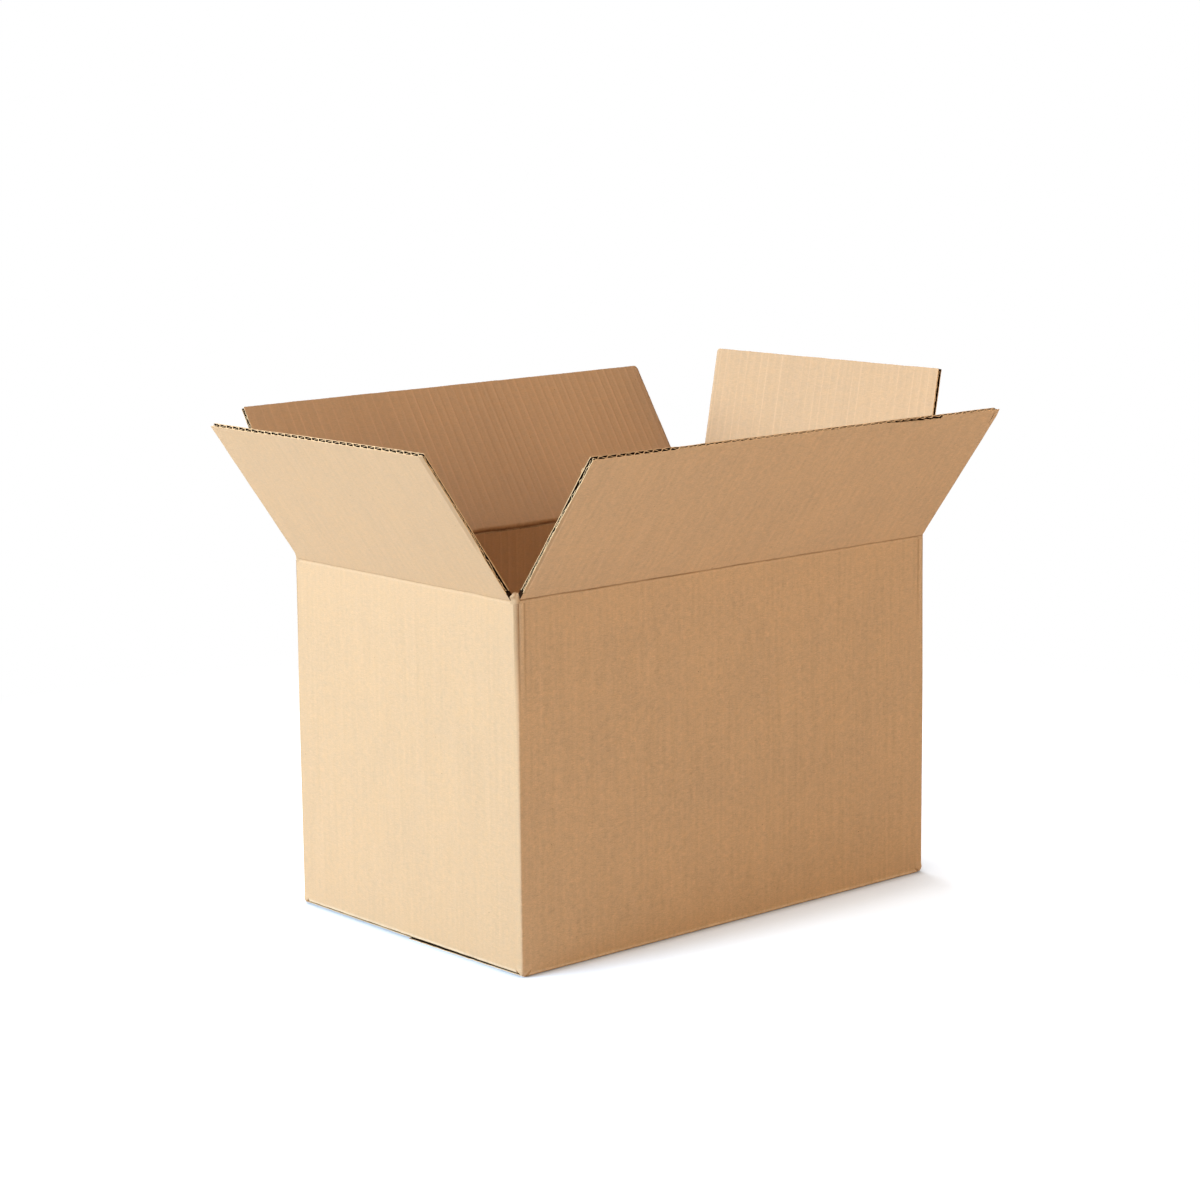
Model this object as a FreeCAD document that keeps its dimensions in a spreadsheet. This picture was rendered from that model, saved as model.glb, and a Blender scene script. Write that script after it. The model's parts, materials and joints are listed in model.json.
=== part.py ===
import FreeCAD, Part
import Sketcher
import os
import re

# Open slotted carton of single-wall corrugated board, folded from one blank.
# X runs along the long walls, Y along the short walls, Z up; the floor is z = 0 and the
# origin is the middle of the bottom. Lengths are millimetres and angles degrees.

DRIVING_SIZES = (
    ("box_length", 318.0, "outside of the walls along X"),
    ("box_width", 204.0, "outside of the walls along Y"),
    ("crease_height", 208.5, "floor to the mean level of the top scores"),
    ("crease_split", 0.9, "how much higher the long flaps' scores lie than the short flaps'"),
    ("board", 2.9, "thickness of the corrugated board"),
    ("liner", 0.3, "thickness of each flat liner"),
    ("medium", 0.25, "thickness of the waved medium at its crests"),
    ("flute_pitch", 6.3, "one full wave of the medium"),
    ("flank_angle", 54.0, "slope of the medium between its crests"),
    ("crest_radius", 3.1, "inside radius of a crest of the medium"),
    ("crest_turn", 16.0, "half of the angle that a crest's arc turns through"),
    ("flap_depth", 101.0, "score to free edge of the top flaps and the short bottom flaps"),
    ("bottom_seam", 0.4, "between the two long bottom flaps, which meet under the middle"),
    ("long_slot", 2.4, "inset of a long flap's side edge from the wall corner"),
    ("short_slot", 4.9, "inset of a short flap's side edge from the wall corner"),
    ("slot_clearance", 0.3, "between a corner nub and the flap edge beside it"),
    ("score_land", 0.15, "board left at the bottom of a score's groove"),
    ("score_gap", 0.6, "from the score line to the root of a flap"),
    ("press_depth", 0.42, "how far the score presses a long wall's outer face back"),
    ("press_height", 1.2, "how far below the score that pressed edge starts"),
    ("crush_band", 4.0, "band beside a score where the flutes are pressed shut"),
    ("edge_groove", 1.2, "depth of the flute that a side edge cuts open"),
    ("edge_rib", 0.3, "board kept between the open flute and the next one"),
    ("tip_radius", 1.5, "rounding of a flap's free corners"),
    ("closed_gap", 0.15, "between a closed long flap and the closed short flaps under it"),
    ("front_lean_angle", 37.1, "outward lean of the front flap as it rests"),
    ("back_lean_angle", 31.5, "outward lean of the back flap as it rests"),
    ("left_lean_angle", 35.0, "outward lean of the left flap as it rests"),
    ("right_lean_angle", 11.0, "outward lean of the right flap as it rests"),
    ("corner_radius", 2.6, "outside rounding of the folded wall corners"),
    ("fold_radius", 1.6, "outside rounding of the bottom folds"),
    ("nub_rise", 4.2, "how far a folded corner stands above the scores"),
    ("nub_radius", 1.4, "rounding of the nub's top"),
    ("lap_width", 35.0, "glue lap inside the hidden corner"),
    ("lap_board", 2.4, "thickness of the glue lap, pressed by the folder"),
    ("lap_end_gap", 3.0, "from the lap's ends to the flaps above and below it"),
    ("lap_taper", 8.0, "how much shorter the lap's free edge is at each end"),
)

DERIVED_SIZES = (
    ("long_crease", "=crease_height + crease_split / 2"),
    ("short_crease", "=crease_height - crease_split / 2"),
    ("long_flap_width", "=box_length - 2 * long_slot"),
    ("short_flap_width", "=box_width - 2 * short_slot"),
    ("closed_lift", "=board + closed_gap - crease_split"),
    ("crest_height", "=board - 2 * liner - medium"),
    ("crest_half", "=crest_radius * sin(crest_turn)"),
    ("shoulder_height", "=crest_height - crest_radius * (1 - cos(crest_turn))"),
    ("cavity_half", "=crest_half + shoulder_height / tan(flank_angle)"),
    ("nub_board", "=long_slot - slot_clearance"),
    ("nub_reach", "=short_slot - slot_clearance"),
)

SHEET = "Sizes"
OUTSIDE = 2.0  # how far a cutting profile runs past the board that it trims
START_INDEX, END_INDEX = 1, 2  # the ends of a sketch curve
ORIGIN_INDEX = (-1, 1)  # a sketch's own origin


def fill_sheet(document):
    """Write the driving sizes and what follows from them, each with its alias."""
    sheet = document.addObject("Spreadsheet::Sheet", SHEET)
    for row, (alias, value, note) in enumerate(DRIVING_SIZES, start=1):
        sheet.set("A%d" % row, note)
        sheet.set("B%d" % row, str(value))
        sheet.setAlias("B%d" % row, alias)
    for row, (alias, formula) in enumerate(DERIVED_SIZES, start=len(DRIVING_SIZES) + 1):
        sheet.set("A%d" % row, alias)
        sheet.set("B%d" % row, formula)
        sheet.setAlias("B%d" % row, alias)
    document.recompute()
    return sheet


def sized(formula):
    """Turn a formula in plain aliases into one that names the sheet."""
    aliases = [row[0] for row in DRIVING_SIZES] + [row[0] for row in DERIVED_SIZES]
    return re.sub("[a-z_]+", lambda word: name_sheet(word.group(), aliases), formula)


def name_sheet(word, aliases):
    return "%s.%s" % (SHEET, word) if word in aliases else word


def value_of(sheet, formula):
    """The number that a formula in plain aliases has now."""
    return float(sheet.evalExpression(sized(formula)))


def bind(feature, name, formula):
    """Tie one property of a feature to the sheet."""
    feature.setExpression(name, sized(formula))


def new_body(document, name):
    body = document.addObject("PartDesign::Body", name)
    body.Label = name
    return body


def new_sketch(body, name, plane, offset=("0", "0", "0")):
    """A sketch on one of the body's own origin planes, moved in that plane's axes."""
    sketch = body.newObject("Sketcher::SketchObject", name)
    support = [entry for entry in body.Origin.OriginFeatures if entry.Role == plane][0]
    sketch.AttachmentSupport = [(support, "")]
    sketch.MapMode = "FlatFace"
    for axis, formula in zip("xyz", offset):
        if formula != "0":
            bind(sketch, "AttachmentOffset.Base.%s" % axis, formula)
    return sketch


def hold(sketch, sheet, kind, curve, end, side, formula):
    """Hold one coordinate of a curve's point at side times the formula's value."""
    point = (curve, end)
    pair = ORIGIN_INDEX + point if side > 0 else point + ORIGIN_INDEX
    index = sketch.addConstraint(Sketcher.Constraint(kind, *pair, value_of(sheet, formula)))
    bind(sketch, "Constraints[%d]" % index, formula)


def rectangle(sketch, sheet, left, right, low, high):
    """A rectangle; each side is (sign, formula) measured from the sketch's origin."""
    xs = [sign * value_of(sheet, formula) for sign, formula in (left, right)]
    ys = [sign * value_of(sheet, formula) for sign, formula in (low, high)]
    corners = [(xs[0], ys[0]), (xs[1], ys[0]), (xs[1], ys[1]), (xs[0], ys[1])]
    polygon(sketch, corners)
    first = sketch.GeometryCount - len(corners)
    for step, kind in enumerate(("Horizontal", "Vertical", "Horizontal", "Vertical")):
        sketch.addConstraint(Sketcher.Constraint(kind, first + step))
    hold(sketch, sheet, "DistanceX", first, START_INDEX, *left)
    hold(sketch, sheet, "DistanceX", first, END_INDEX, *right)
    hold(sketch, sheet, "DistanceY", first, START_INDEX, *low)
    hold(sketch, sheet, "DistanceY", first + 2, START_INDEX, *high)


def polygon(sketch, corners):
    """Closed straight outline whose neighbours share their ends."""
    first = sketch.GeometryCount
    count = len(corners)
    for step in range(count):
        begin = FreeCAD.Vector(*corners[step], 0)
        finish = FreeCAD.Vector(*corners[(step + 1) % count], 0)
        sketch.addGeometry(Part.LineSegment(begin, finish), False)
    for step in range(count):
        after = first + (step + 1) % count
        sketch.addConstraint(Sketcher.Constraint("Coincident", first + step, END_INDEX, after, START_INDEX))


def held_polygon(sketch, sheet, corners):
    """A closed outline whose every corner is held; a corner is (x side, x, y side, y)."""
    points = [
        (x_side * value_of(sheet, x), y_side * value_of(sheet, y)) for x_side, x, y_side, y in corners
    ]
    first = sketch.GeometryCount
    polygon(sketch, points)
    for step, (x_side, x, y_side, y) in enumerate(corners):
        hold(sketch, sheet, "DistanceX", first + step, START_INDEX, x_side, x)
        hold(sketch, sheet, "DistanceY", first + step, START_INDEX, y_side, y)


def pad(body, name, sketch, length, reverse=False, middle=False):
    feature = body.newObject("PartDesign::Pad", name)
    feature.Profile = sketch
    bind(feature, "Length", length)
    feature.Reversed = reverse
    if middle:
        feature.SideType = "Symmetric"
    return feature


def pocket(body, name, sketch, length, reverse=False, middle=False):
    """Cut a profile, and stop if the cut takes nothing away."""
    before = solid_volume(body)
    feature = body.newObject("PartDesign::Pocket", name)
    feature.Profile = sketch
    bind(feature, "Length", length)
    feature.Reversed = reverse
    if middle:
        feature.SideType = "Symmetric"
    if solid_volume(body) >= before:
        raise RuntimeError("%s cuts nothing" % name)
    return feature


def solid_volume(body):
    body.Document.recompute()
    return body.Shape.Volume


def edges_where(feature, test):
    """Names of the feature's straight edges whose middle and direction pass the test."""
    feature.Document.recompute()
    names = []
    for number, edge in enumerate(feature.Shape.Edges, start=1):
        if edge.Curve.TypeId == "Part::GeomLine":
            middle = edge.CenterOfMass
            if test(middle, edge.Curve.Direction):
                names.append("Edge%d" % number)
    if not names:
        raise RuntimeError("no edge found on %s" % feature.Name)
    return names


def near(one, other):
    return abs(one - other) < 0.01


def fillet(body, name, base, edges, radius):
    feature = body.newObject("PartDesign::Fillet", name)
    feature.Base = (base, edges)
    bind(feature, "Radius", radius)
    return feature


# Box body: walls, corner nubs, bottom flaps and glue lap, all one folded piece.

def make_box_body(document, sheet):
    body = new_body(document, "box_body")
    add_walls(body, sheet)
    add_nubs(body, sheet)
    groove_scores(body, sheet)
    close_bottom(body, sheet)
    add_lap(body, sheet)
    round_folds(body, sheet)
    return body


def add_walls(body, sheet):
    """Four walls up to the short scores, and the long walls on up to their own."""
    ring = new_sketch(body, "wall_plan", "XY_Plane")
    for cut in ("", " - board"):
        half_length = "box_length / 2" + cut
        half_width = "box_width / 2" + cut
        rectangle(ring, sheet, (-1, half_length), (1, half_length), (-1, half_width), (1, half_width))
    pad(body, "walls", ring, "short_crease")
    for side, name in ((-1, "front"), (1, "back")):
        strip = new_sketch(body, name + "_wall_plan", "XY_Plane")
        edges = [(side, "box_width / 2"), (side, "box_width / 2 - board")]
        rectangle(strip, sheet, (-1, "box_length / 2"), (1, "box_length / 2"), *edges)
        pad(body, name + "_wall", strip, "long_crease")


def add_nubs(body, sheet):
    """Pinched board that stands between the slots at the three folded corners."""
    for x_side, y_side in ((-1, -1), (1, -1), (-1, 1)):
        name = "nub_%s_%s" % ("left" if x_side < 0 else "right", "front" if y_side < 0 else "back")
        plan = new_sketch(body, name + "_plan", "XY_Plane")
        across = [(x_side, "box_length / 2"), (x_side, "box_length / 2 - nub_board")]
        along = [(y_side, "box_width / 2"), (y_side, "box_width / 2 - nub_reach")]
        rectangle(plan, sheet, *across, *along)
        nub = pad(body, name, plan, "crease_height + nub_rise")
        top = value_of(sheet, "crease_height + nub_rise")
        inner = y_side * value_of(sheet, "box_width / 2 - nub_reach")
        edges = edges_where(nub, lambda point, way: near(point.z, top) and near(point.y, inner))
        fillet(body, name + "_top", nub, edges, "nub_radius")


def groove_scores(body, sheet):
    """Bevel the inner side of each wall's top, which is half of its score's groove.

    A long wall's outer face is pressed back too, which lets its flap hang down outside.
    """
    half_width = "box_width / 2"
    run = "box_length - 2 * long_slot"
    pressed = half_width + " - press_depth"
    cut_score(body, sheet, "long_score", "YZ_Plane", pressed, half_width, "long_crease", run)
    half_length = "box_length / 2"
    run = "box_width - 2 * nub_reach"
    cut_score(body, sheet, "short_score", "XZ_Plane", half_length, half_length, "short_crease", run)
    for side in (-1, 1):
        profile = new_sketch(body, "press_%s" % ("front" if side < 0 else "back"), "YZ_Plane")
        corners = (
            (side, half_width, 1, "long_crease - press_height"),
            (side, half_width, 1, "long_crease"),
            (side, pressed, 1, "long_crease"),
        )
        held_polygon(profile, sheet, corners)
        pocket(body, profile.Name + "_cut", profile, "box_length - 2 * long_slot", middle=True)


def cut_score(body, sheet, name, plane, edge, face, crease, run):
    """Bevel a pair of facing walls from near the edge down to their inner faces."""
    for side in (-1, 1):
        profile = new_sketch(body, "%s_%s" % (name, "low" if side < 0 else "high"), plane)
        inner = face + " - board"
        corners = (
            (side, edge + " - score_land", 1, crease),
            (side, inner, 1, "%s - board + %s - (%s) + score_land" % (crease, face, edge)),
            (side, inner, 1, crease),
        )
        held_polygon(profile, sheet, corners)
        pocket(body, profile.Name + "_cut", profile, run, middle=True)


def close_bottom(body, sheet):
    """Long bottom flaps outside, meeting at a seam, and short bottom flaps on top of them."""
    between = "box_width / 2 - nub_reach"
    for side, name in ((-1, "left"), (1, "right")):
        under = new_sketch(body, name + "_recess_plan", "XY_Plane")
        wall = [(side, "box_length / 2 - board"), (side, "box_length / 2 + %s" % OUTSIDE)]
        rectangle(under, sheet, *wall, (-1, between), (1, between))
        pocket(body, name + "_recess", under, "board", reverse=True)
    half_long = "box_length / 2 - long_slot"
    for side, name in ((-1, "front"), (1, "back")):
        plan = new_sketch(body, name + "_bottom_plan", "XY_Plane")
        depth = [(side, "box_width / 2 - board / 2"), (side, "bottom_seam / 2")]
        rectangle(plan, sheet, (-1, half_long), (1, half_long), *depth)
        pad(body, name + "_bottom_flap", plan, "board")
    half_short = "box_width / 2 - short_slot"
    for side, name in ((-1, "left"), (1, "right")):
        plan = new_sketch(body, name + "_bottom_plan", "XY_Plane", ("0", "0", "board"))
        depth = [(side, "box_length / 2 - board / 2"), (side, "box_length / 2 - flap_depth")]
        rectangle(plan, sheet, *depth, (-1, half_short), (1, half_short))
        pad(body, name + "_bottom_flap", plan, "board")


def add_lap(body, sheet):
    """Glue lap of the right wall, stuck to the inside of the back wall."""
    inner = ("0", "0", "board - box_width / 2")
    face = new_sketch(body, "lap_outline", "XZ_Plane", inner)
    root = "box_length / 2 - board"
    low = "2 * board + lap_end_gap"
    high = "short_crease - board - lap_end_gap"
    corners = (
        (1, root, 1, low),
        (1, root, 1, high),
        (1, root + " - lap_width", 1, high + " - lap_taper"),
        (1, root + " - lap_width", 1, low + " + lap_taper"),
    )
    held_polygon(face, sheet, corners)
    pad(body, "lap", face, "lap_board")


def round_folds(body, sheet):
    """Round the four wall corners and the folds of the bottom."""
    plan = new_sketch(body, "corner_rounding", "XY_Plane")
    edge = " / 2 + %s" % OUTSIDE
    reach = [(-1, "box_length" + edge), (1, "box_length" + edge)]
    rectangle(plan, sheet, *reach, (-1, "box_width" + edge), (1, "box_width" + edge))
    rounded_outline(plan, sheet, "box_length / 2", "box_width / 2", "corner_radius")
    corner_cut = pocket(body, "corners", plan, "crease_height + nub_rise + %s" % OUTSIDE, reverse=True)
    half_length = value_of(sheet, "box_length / 2")
    half_width = value_of(sheet, "box_width / 2")
    board = value_of(sheet, "board")

    def bottom_fold(point, way):
        long_fold = near(point.z, 0) and near(abs(point.y), half_width) and near(point.x, 0)
        short_fold = near(point.z, board) and near(abs(point.x), half_length) and near(point.y, 0)
        return long_fold or short_fold

    fillet(body, "bottom_folds", corner_cut, edges_where(corner_cut, bottom_fold), "fold_radius")


def rounded_outline(sketch, sheet, half_x, half_y, radius):
    """Rectangle about the origin whose corners are tangent arcs."""
    reach_x = value_of(sheet, half_x)
    reach_y = value_of(sheet, half_y)
    bend = value_of(sheet, radius)
    first = sketch.GeometryCount
    quarter = FreeCAD.Units.Quantity("90 deg").getValueAs("rad").Value
    straight_x = reach_x - bend
    straight_y = reach_y - bend
    sides = (
        ((-straight_x, -reach_y), (straight_x, -reach_y), (straight_x, -straight_y), -quarter),
        ((reach_x, -straight_y), (reach_x, straight_y), (straight_x, straight_y), 0.0),
        ((straight_x, reach_y), (-straight_x, reach_y), (-straight_x, straight_y), quarter),
        ((-reach_x, straight_y), (-reach_x, -straight_y), (-straight_x, -straight_y), 2 * quarter),
    )
    for begin, finish, centre, turn in sides:
        line = Part.LineSegment(FreeCAD.Vector(*begin, 0), FreeCAD.Vector(*finish, 0))
        sketch.addGeometry(line, False)
        circle = Part.Circle(FreeCAD.Vector(*centre, 0), FreeCAD.Vector(0, 0, 1), bend)
        sketch.addGeometry(Part.ArcOfCircle(circle, turn, turn + quarter), False)
    count = 2 * len(sides)
    for step in range(0, count, 2):
        line, arc = first + step, first + step + 1
        after = first + (step + 2) % count
        sketch.addConstraint(Sketcher.Constraint("Tangent", line, END_INDEX, arc, START_INDEX))
        sketch.addConstraint(Sketcher.Constraint("Tangent", arc, END_INDEX, after, START_INDEX))
        index = sketch.addConstraint(Sketcher.Constraint("Radius", arc, bend))
        bind(sketch, "Constraints[%d]" % index, radius)
    for step, kind in ((0, "Horizontal"), (2, "Vertical"), (4, "Horizontal"), (6, "Vertical")):
        sketch.addConstraint(Sketcher.Constraint(kind, first + step))
    hold(sketch, sheet, "DistanceY", first, START_INDEX, -1, half_y)
    hold(sketch, sheet, "DistanceX", first + 2, START_INDEX, 1, half_x)
    hold(sketch, sheet, "DistanceY", first + 4, START_INDEX, 1, half_y)
    hold(sketch, sheet, "DistanceX", first + 6, START_INDEX, -1, half_x)


# Top flaps. Each is modelled upright about its own hinge line: X along the score, Z up the
# flap, outer face towards -Y. Its placement then leans it outward and turns it to its wall.

def make_flap(document, sheet, name, width, rise, lean, place, turn):
    """One top flap; rise is how far its hinge line lies above its score."""
    body = new_body(document, name)
    face = "%s * sin(%s)" % (rise, lean)
    drop = "%s * cos(%s)" % (rise, lean)
    root = "score_gap - " + drop
    tip = "flap_depth - " + drop
    half = width + " / 2"

    outline = new_sketch(body, name + "_outline", "XZ_Plane", ("0", root, face))
    depth = "flap_depth - score_gap"
    rectangle(outline, sheet, (-1, half), (1, half), (1, "0"), (1, depth))
    plate = pad(body, name + "_board", outline, "board", reverse=True)

    inner = value_of(sheet, "board - " + face)
    foot = value_of(sheet, root)
    free = value_of(sheet, tip)
    bevel = body.newObject("PartDesign::Chamfer", name + "_score")
    inner_root = edges_where(plate, lambda point, way: near(point.y, inner) and near(point.z, foot))
    bevel.Base = (plate, inner_root)
    bind(bevel, "Size", "board - score_land")
    side = value_of(sheet, half)
    tips = edges_where(bevel, lambda point, way: near(abs(point.x), side) and near(point.z, free))
    fillet(body, name + "_corners", bevel, tips, "tip_radius")

    cut_side_flutes(body, sheet, name, half, face, tip)
    cut_flutes(body, sheet, name, width, face, tip)

    where = "vector(%s; %s; %s)" % place
    facing = "rotation(vector(0; 0; 1); %s) * rotation(vector(1; 0; 0); %s)" % (turn, lean)
    bind(body, "Placement", "placement(%s; %s)" % (where, facing))
    return body


def cut_side_flutes(body, sheet, name, half, face, tip):
    """Open the flute that each side edge of the flap runs along."""
    plan = new_sketch(body, name + "_side_plan", "XY_Plane", ("0", "0 - " + face, tip))
    walls = [(1, "liner"), (1, "board - liner")]
    for side in (-1, 1):
        rectangle(plan, sheet, (side, half), (side, half + " - edge_groove"), *walls)
    pocket(body, name + "_side_flutes", plan, "flap_depth - score_gap - crush_band")


def cut_flutes(body, sheet, name, width, face, tip):
    """Hollow the board with one wave of the medium, repeated along the flap."""
    count = "floor((%s - 2 * edge_groove - 2 * edge_rib) / flute_pitch)" % width
    first = "0 - (%s - 0.5) * flute_pitch / 2" % count
    wave = new_sketch(body, name + "_wave", "XY_Plane", (first, "0 - " + face, tip))
    add_cavity(wave, sheet, "0", "liner", 1)
    add_cavity(wave, sheet, "flute_pitch / 2", "board - liner", -1)
    cut = pocket(body, name + "_flute", wave, "flap_depth - score_gap - crush_band")
    row = body.newObject("PartDesign::LinearPattern", name + "_flutes")
    row.Originals = [cut]
    row.Direction = (wave, ["H_Axis"])
    bind(row, "Length", "(%s - 1) * flute_pitch" % count)
    bind(row, "Occurrences", count)
    body.Tip = row


def add_cavity(sketch, sheet, middle, base, up):
    """Hollow between a liner and the medium: flat base, two flanks and a round crest."""
    sign = "+" if up > 0 else "-"
    shoulder = "%s %s shoulder_height" % (base, sign)
    centre_x = value_of(sheet, middle)
    base_y = value_of(sheet, base)
    shoulder_y = value_of(sheet, shoulder)
    crest_y = value_of(sheet, "%s %s crest_height" % (base, sign))
    half = value_of(sheet, "cavity_half")
    narrow = value_of(sheet, "crest_half")
    corners = ((-narrow, shoulder_y), (-half, base_y), (half, base_y), (narrow, shoulder_y))
    points = [FreeCAD.Vector(centre_x + x, y, 0) for x, y in corners]
    first = sketch.GeometryCount
    for begin, finish in zip(points, points[1:]):
        sketch.addGeometry(Part.LineSegment(begin, finish), False)
    crest = FreeCAD.Vector(centre_x, crest_y, 0)
    sketch.addGeometry(Part.Arc(points[3], crest, points[0]), False)
    left, bottom, right, arc = range(first, first + 4)
    arc_ends = (START_INDEX, END_INDEX) if up > 0 else (END_INDEX, START_INDEX)
    joins = (
        (left, END_INDEX, bottom, START_INDEX),
        (bottom, END_INDEX, right, START_INDEX),
        (right, END_INDEX, arc, arc_ends[0]),
        (left, START_INDEX, arc, arc_ends[1]),
    )
    for join in joins:
        sketch.addConstraint(Sketcher.Constraint("Coincident", *join))
    index = sketch.addConstraint(Sketcher.Constraint("Radius", arc, value_of(sheet, "crest_radius")))
    bind(sketch, "Constraints[%d]" % index, "crest_radius")
    ends = ((left, START_INDEX, "crest_half", shoulder), (bottom, START_INDEX, "cavity_half", base))
    for curve, end, spread, level in ends:
        low_side, low = offset_from(middle, "-", spread)
        hold(sketch, sheet, "DistanceX", curve, end, low_side, low)
        hold(sketch, sheet, "DistanceY", curve, end, 1, level)
    ends = ((bottom, END_INDEX, "cavity_half", base), (right, END_INDEX, "crest_half", shoulder))
    for curve, end, spread, level in ends:
        high_side, high = offset_from(middle, "+", spread)
        hold(sketch, sheet, "DistanceX", curve, end, high_side, high)
        hold(sketch, sheet, "DistanceY", curve, end, 1, level)


def offset_from(middle, sign, spread):
    """Side and formula of a place to the left or right of a cavity's middle."""
    if middle != "0":
        return 1, "%s %s %s" % (middle, sign, spread)
    return (1 if sign == "+" else -1), spread


def long_rise(lean):
    """Hinge height above a long flap's score that lays the closed flap on the short ones."""
    return "closed_lift / (1 + sin(%s))" % lean


def make_flaps(document, sheet):
    front_rise = long_rise("front_lean_angle")
    back_rise = long_rise("back_lean_angle")
    front_place = ("0", "0 - box_width / 2", "long_crease + " + front_rise)
    back_place = ("0", "box_width / 2", "long_crease + " + back_rise)
    left_place = ("0 - box_length / 2", "0", "short_crease")
    right_place = ("box_length / 2", "0", "short_crease")
    rows = (
        ("front", "long_flap_width", front_rise, front_place, 0),
        ("back", "long_flap_width", back_rise, back_place, 180),
        ("left", "short_flap_width", "0", left_place, -90),
        ("right", "short_flap_width", "0", right_place, 90),
    )
    flaps = []
    for side, width, rise, place, turn in rows:
        lean = side + "_lean_angle"
        flaps.append(make_flap(document, sheet, side + "_flap", width, rise, lean, place, turn))
    return flaps


def check_document(document, bodies):
    """Stop if any object failed or any sub-part is empty or broken."""
    for entry in document.Objects:
        if "Invalid" in entry.State or "Error" in entry.State:
            raise RuntimeError("%s failed: %s" % (entry.Name, entry.State))
    for body in bodies:
        if body.Shape.isNull() or not body.Shape.isValid():
            raise RuntimeError("%s has no valid shape" % body.Label)
        if len(body.Shape.Solids) != 1:
            raise RuntimeError("%s is not one solid" % body.Label)


def write_parts(bodies):
    os.makedirs("parts", exist_ok=True)
    for body in bodies:
        body.Shape.exportStep("parts/%s.step" % body.Label)
        print("%s: %.0f mm3" % (body.Label, body.Shape.Volume))


document = FreeCAD.newDocument("open_carton")
sizes = fill_sheet(document)
parts = [make_box_body(document, sizes)] + make_flaps(document, sizes)
document.recompute()
check_document(document, parts)
write_parts(parts)
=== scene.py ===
import json
import math

import bpy
import numpy as np
from mathutils import Matrix, Vector


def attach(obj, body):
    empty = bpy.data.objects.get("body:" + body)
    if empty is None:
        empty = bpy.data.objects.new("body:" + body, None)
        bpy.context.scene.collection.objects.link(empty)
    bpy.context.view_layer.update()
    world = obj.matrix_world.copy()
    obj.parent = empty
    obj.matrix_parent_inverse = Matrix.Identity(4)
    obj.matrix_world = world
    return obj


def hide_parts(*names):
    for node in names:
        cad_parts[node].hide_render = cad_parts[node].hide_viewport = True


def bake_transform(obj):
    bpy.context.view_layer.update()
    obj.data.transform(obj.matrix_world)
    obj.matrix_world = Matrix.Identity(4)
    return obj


# Open slotted carton of single-wall corrugated board. Lengths are millimetres until a mesh is
# made. Each point of the board is known by its place in the flat blank: u runs along the
# walls, v up the flutes and w through the board from its outer face.

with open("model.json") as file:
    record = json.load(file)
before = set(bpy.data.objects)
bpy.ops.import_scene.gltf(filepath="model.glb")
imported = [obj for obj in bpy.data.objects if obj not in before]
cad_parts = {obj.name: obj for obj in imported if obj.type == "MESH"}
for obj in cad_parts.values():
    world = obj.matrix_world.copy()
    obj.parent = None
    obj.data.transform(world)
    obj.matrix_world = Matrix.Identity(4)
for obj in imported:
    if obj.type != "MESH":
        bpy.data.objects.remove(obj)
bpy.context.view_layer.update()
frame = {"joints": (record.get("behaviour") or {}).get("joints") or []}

MM = 0.001
BOARD = 2.9
LINER = 0.42
MEDIUM = 0.36
MEDIUM_INSET = 1.3
FRAYED = 0.16  # the cut medium is this much thicker to each side
FLUTE = 6.3
FLAP_DEPTH = 101.0
LONG_SLOT = 2.4
SHORT_SLOT = 4.9
CREASE_STEP = 0.9  # the long flaps' scores lie this much above the short ones'
CORNER_LOW, CORNER_HIGH = 1.2, 2.9  # outer radius of a folded corner, low down and at its top
INNER_RADIUS = 0.4
BACK_END = 0.9  # the back wall's cut end stops this far short of the corner
WALL_LOW = 7.0  # below this height the wall turns into its bottom flap
SCORE_LOW = 1.8  # a score strip starts this far below its score
SCORE_HIGH = 5.0  # and ends this far up the flap
SIDE_BAND = 3.4
TIP_BAND = 1.6
SEAM = 0.2
NUB_RISE = 4.0
FLOOR_LIFT = 0.03
FLUTE_SINK = 0.04  # the inner liner lies this much lower between the lines of its flutes
RIM_SHIFT = 0.4  # the painted highlight on the rim of a bottom fold lies this far past the start of its bend

FLUTE_STEP = FLUTE / 8
WAVE_STEP = FLUTE / 14
TOOTH_STEP = 1.25  # teeth of the slotting knife
BAND_HEIGHTS = (140, 200)  # a corner's pressed bands grow from none to full between these heights
CORNER_REACH = 6.6  # a folded corner has finer columns this far to each side
CLOSEST_COLUMNS = 0.12
OUTER, INNER, CORE, CUT = (0, 0, 0), (1, 0, 0), (0, 1, 0), (0, 0, 1)


def joint_of(name):
    return [joint for joint in frame["joints"] if joint["name"] == name][0]


HALF_X = abs(joint_of("left_fold")["pos_m"][0]) / MM
HALF_Y = abs(joint_of("front_fold")["pos_m"][1]) / MM
LONG, SHORT = 2 * HALF_X, 2 * HALF_Y
SHORT_CREASE = joint_of("left_fold")["pos_m"][2] / MM
LONG_CREASE = SHORT_CREASE + CREASE_STEP


# Plain helpers for seeded waves and smooth steps.

def wander(x, step, seed):
    """Smooth seeded curve through a random value every step, between about -1 and 1."""
    places = np.asarray(x, float) / step
    table = np.random.default_rng(seed).uniform(-1, 1, 4096)
    cell = np.floor(places).astype(int)
    part = places - cell
    ease = part * part * (3 - 2 * part)
    return table[cell % 4096] * (1 - ease) + table[(cell + 1) % 4096] * ease


def smooth(x, low, high):
    part = np.clip((np.asarray(x, float) - low) / (high - low), 0, 1)
    return part * part * (3 - 2 * part)


def hump(x, middle, reach):
    """One soft bump of height 1."""
    return np.exp(-(((np.asarray(x, float) - middle) / reach) ** 2))


def arc(centre, radius, begin, finish, count=9):
    """Points of an arc in a plane; angles in degrees."""
    turn = np.radians(np.linspace(begin, finish, count))
    return [(centre[0] + radius * math.cos(t), centre[1] + radius * math.sin(t)) for t in turn]


# The blank: four wall panels in a row, with the glue lap before the first one.

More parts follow.
